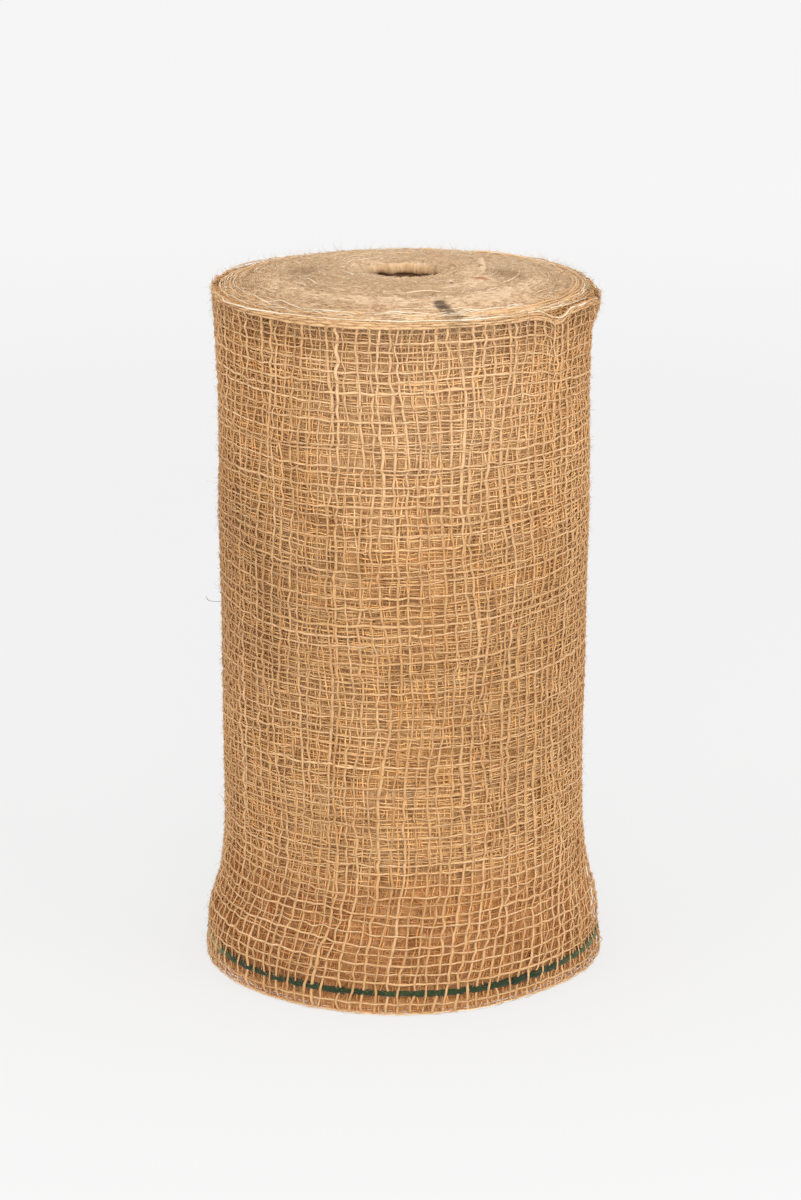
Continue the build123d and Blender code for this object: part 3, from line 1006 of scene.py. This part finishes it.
def make_upper_edges():
    end = EndOfStrip(True, 501)
    folds, threads, matted, fibres, more_fibres = (Soup() for _ in range(5))
    shoulder = (1.0, float(SHOULDER_TURNS))
    end.cord(folds, shoulder, 2.4 * MM, 0.45, 0.2, 0.2, 0.62, 5)
    end.loops(folds, shoulder, COLUMN_PITCH)
    end.cord(matted, (shoulder[1], INNER_TURNS), 3.0 * MM, 0.35, 0.9, 0.35, 0.58, 4)
    end.cord(threads, shoulder, 2.0 * MM, 0.22, 0.25, 0.5, 0.6, 4)
    end.cord(threads, (shoulder[1], INNER_TURNS), 2.6 * MM, 0.18, 0.95, 0.5, 0.55, 4)
    end.felted(fibres, INNER_FELT, HOLE_RADIUS + 0.6 * MM, 52 * MM)
    end.felted(more_fibres, OUTER_FELT, 48 * MM, RIM_RADIUS - 1.5 * MM)
    on_roll(folds, "upper_end_folded_edges", JUTE)
    on_roll(threads, "upper_end_selvedge_threads", CREAM)
    on_roll(matted, "upper_end_matted_folds", FELT)
    on_roll(fibres, "upper_end_inner_fibres", FELT)
    on_roll(more_fibres, "upper_end_outer_fibres", FELT)


def make_lower_edges():
    end = EndOfStrip(False, 502)
    folds, threads = Soup(), Soup()
    shoulder = (WOVEN_TURNS - 1.0, float(SHOULDER_TURNS))
    end.cord(folds, shoulder, 2.6 * MM, 0.42, 0.2, 0.15, 0.55, 4)
    end.loops(folds, shoulder, COLUMN_PITCH)
    end.cord(threads, (shoulder[1], INNER_TURNS), 3.0 * MM, 0.25, 0.1, 0.3, 0.35, 4)
    end.felted(folds, LOWER_FELT, HOLE_RADIUS, RIM_RADIUS - 4 * MM)
    on_roll(folds, "lower_end_folded_edges", JUTE)
    on_roll(threads, "lower_end_selvedge_threads", CREAM)


def make_stray_hairs():
    """A pale filament that has come loose on the left, and a short dark hair below it."""
    for name, material, height, heading, reach, size in (
            ("stray_filament", CREAM, 214 * MM, (-0.30, 0.10, -0.35), 13 * MM, 0.06 * MM),
            ("dark_stray_hair", DARK_HAIR, 160 * MM, (-0.95, -0.10, -0.15), 6.5 * MM, 0.11 * MM)):
        t = np.linspace(0, 1, 14)[None]
        root = np.array([-RIM_RADIUS + 0.8 * MM, -6 * MM, height])
        path = root + reach * t[..., None] * np.array(heading)
        path[..., 0] -= 0.28 * reach * np.sin(math.pi * t)
        path[..., 2] += 0.5 * reach * t ** 2
        hair = Soup()
        hair.tubes(path, size + 0 * t, (0.7, 0.0, 0.7), (0.0, 1.0, 0.0), 0.5 + 0 * t, 5)
        on_roll(hair, name, material)


# --- the core and the tape ---

def dress_core():
    for node, material in (("core_tube", KRAFT), ("starter_tape", TAPE)):
        for slot in frame["nodes"][node].material_slots:
            slot.material = material


# --- the stage ---

CAMERA_DISTANCE = 1.7234
CAMERA_ELEVATION = math.radians(15.50)
CAMERA_TARGET = (0.0, 0.0, 0.15886)
CAMERA_LENS = 119.14
CAMERA_SHIFT = -0.00343

FLOOR_PAINT = 0.20  # the share of the floor that takes light and shadow
# The floor's glow: dimmed near a point just behind the roll as a painted shadow pool, and full far from
# it.
FLOOR_GLOW_IN_PAINTED_SHADOW = 0.86
FLOOR_FAR = 0.93
WORLD_GLOW = 0.92

# Soft round lamps: name, place, width and power.
LAMPS = [
    ("softbox_left", (-1.7, -1.6, 1.5), 1.6, 7),
    ("softbox_right", (1.8, -1.5, 1.4), 1.6, 15),
    ("softbox_front", (0.1, -2.4, 1.3), 1.5, 32),
]


def make_stage():
    """A pale floor that glows a little, so that it stays even under the roll's soft shadow. The glow is
    dimmer round a point just behind the roll: a painted shadow pool.
    """
    bpy.ops.mesh.primitive_plane_add(size=24)
    floor = bpy.context.active_object
    floor.name = "floor"
    nodes = Nodes("floor")
    nodes.tree.nodes.remove(nodes.shader)
    # Painted shadow pool: less glow near a point just behind the roll.
    far = nodes.fade(nodes.distance((0, 500, 0)), 0.3, 1.6)
    strength = nodes.maths("MULTIPLY_ADD", far, FLOOR_FAR - FLOOR_GLOW_IN_PAINTED_SHADOW, FLOOR_GLOW_IN_PAINTED_SHADOW)
    paint = nodes.add("ShaderNodeBsdfDiffuse", {"Color": (0.9, 0.9, 0.9, 1)})
    glow = nodes.add("ShaderNodeEmission", {"Color": (1.0, 1.0, 1.0, 1), "Strength": strength})
    both = nodes.add("ShaderNodeMixShader", {0: 1 - FLOOR_PAINT, 1: paint.outputs[0], 2: glow.outputs[0]})
    output = nodes.tree.nodes["Material Output"]
    nodes.tree.links.new(both.outputs[0], output.inputs["Surface"])
    floor.data.materials.append(nodes.material)


def make_lamp(name, place, size, power):
    light = bpy.data.lights.new(name, "AREA")
    light.shape = "DISK"
    light.size = size
    light.energy = power
    piece = bpy.data.objects.new(name, light)
    piece.location = place
    aim = Vector(CAMERA_TARGET) - piece.location
    piece.rotation_euler = aim.to_track_quat("-Z", "Y").to_euler()
    bpy.context.scene.collection.objects.link(piece)


def make_camera():
    data = bpy.data.cameras.new("camera")
    data.lens = CAMERA_LENS
    data.sensor_width = 36
    data.shift_x = CAMERA_SHIFT
    data.clip_end = 60
    camera = bpy.data.objects.new("camera", data)
    camera.location = (CAMERA_TARGET[0], -CAMERA_DISTANCE * math.cos(CAMERA_ELEVATION),
                       CAMERA_TARGET[2] + CAMERA_DISTANCE * math.sin(CAMERA_ELEVATION))
    camera.rotation_euler = (math.pi / 2 - CAMERA_ELEVATION, 0, 0)
    bpy.context.scene.collection.objects.link(camera)
    bpy.context.scene.camera = camera


def make_world():
    world = bpy.data.worlds.new("studio")
    world.use_nodes = True
    background = world.node_tree.nodes["Background"]
    background.inputs["Color"].default_value = (1, 1, 1, 1)
    background.inputs["Strength"].default_value = WORLD_GLOW
    bpy.context.scene.world = world
    bpy.context.scene.view_settings.view_transform = "Standard"


make_camera()
make_world()
make_stage()
for lamp in LAMPS:
    make_lamp(*lamp)
make_free_end()
make_outer_turn()
make_inner_turns()
make_body_side()
make_body_end("upper_matted_end", True, 78)
make_body_end("lower_matted_end", False, 79)
make_upper_edges()
make_lower_edges()
make_stray_hairs()
dress_core()
